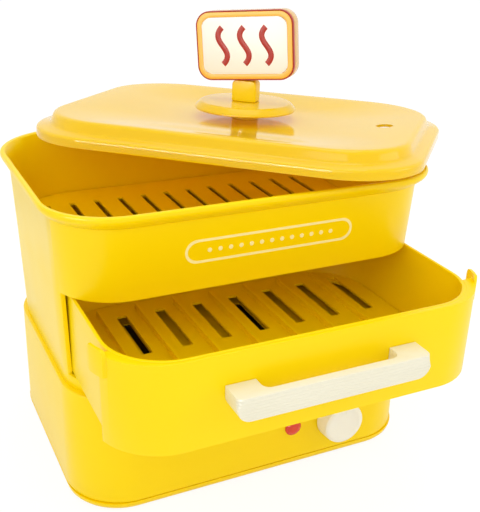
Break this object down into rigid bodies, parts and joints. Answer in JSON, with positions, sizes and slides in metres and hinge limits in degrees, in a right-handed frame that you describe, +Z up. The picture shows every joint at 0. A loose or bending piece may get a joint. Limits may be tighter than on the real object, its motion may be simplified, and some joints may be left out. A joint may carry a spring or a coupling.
{
  "type": "hot dog steamer",
  "caption": "Two-deck countertop steamer with a heated water base, a cabinet with a pull-out drawer, an upper tray, and a loose lid with a small sign as its handle.",
  "frame": {"origin": "on the table, under the middle of the cabinet's plan, between the four feet", "axes": "+Z up, the drawer and the knob face -Y, +X to the right as seen from the front"},
  "size_m": [0.3757, 0.4141, 0.3604],
  "materials": {
    "yellow_plastic": "gloss moulded",
    "amber_clear_plastic": "translucent gloss",
    "post_plastic": "gloss moulded",
    "white_plastic": "satin",
    "red_lens": "clear lens",
    "red_plastic": "gloss moulded",
    "orange_print": "printed",
    "pale_print": "printed",
    "black_plastic": "satin",
    "dark_rubber": "matte",
    "steel": "satin",
    "cast_aluminium": "cast",
    "element_sheath": "dark sheath"
  },
  "bodies": {
    "base": {"base_front_wall": "yellow_plastic", "base_rear_wall": "yellow_plastic", "base_left_wall": "yellow_plastic", "base_right_wall": "yellow_plastic", "deck_plate": "yellow_plastic", "deck_ring": "yellow_plastic", "cover_bosses": "yellow_plastic", "bottom_cover": "yellow_plastic", "cover_screws": "steel", "feet": "dark_rubber", "water_pan": "steel", "heater_plate": "cast_aluminium", "heating_element": "element_sheath", "element_clamps": "steel", "thermostat": "cast_aluminium", "thermal_fuse": "cast_aluminium", "terminal_block": "black_plastic", "cord_gland": "dark_rubber", "control_switch": "black_plastic", "switch_nut": "steel", "lamp_lens": "red_lens", "lamp_holder": "black_plastic"},
    "knob": {"control_knob": "white_plastic", "control_shaft": "steel"},
    "drip": {"drip_tray": "yellow_plastic"},
    "cabinet": {"housing_shell": "yellow_plastic", "tray_ledge": "yellow_plastic", "drawer_runners": "yellow_plastic"},
    "drawer": {"drawer_box": "yellow_plastic", "drawer_front": "yellow_plastic", "drawer_handle": "white_plastic", "handle_screws": "steel", "drawer_rack": "yellow_plastic"},
    "upper": {"upper_tray": "yellow_plastic"},
    "lid": {"lid_shell": "amber_clear_plastic", "lid_washer": "steel", "handle_disc": "amber_clear_plastic", "sign_post": "post_plastic", "lid_screw": "steel", "sign_plate": "red_plastic", "sign_back": "amber_clear_plastic", "sign_band": "orange_print", "sign_face": "pale_print"}
  },
  "joints": [
    {"name": "knob_turn", "type": "hinge", "parent": "base", "child": "knob", "pos_m": [0.071, -0.113, 0.04], "axis": [0, 1, 0], "range_deg": [0, 270]},
    {"name": "drip_tray_lift", "type": "slide", "parent": "base", "child": "drip", "axis": [0, 0, 1], "range_m": [0, 0.06]},
    {"name": "cabinet_lift", "type": "slide", "parent": "drip", "child": "cabinet", "axis": [0, 0, 1], "range_m": [0, 0.12]},
    {"name": "drawer_slide", "type": "slide", "parent": "cabinet", "child": "drawer", "axis": [0, -1, 0], "range_m": [-0.089, 0.06]},
    {"name": "upper_tray_lift", "type": "slide", "parent": "cabinet", "child": "upper", "axis": [0, 0, 1], "range_m": [0, 0.1]},
    {"name": "lid_lift", "type": "slide", "parent": "upper", "child": "lid", "axis": [0, 0, 1], "range_m": [0, 0.1]}
  ]
}
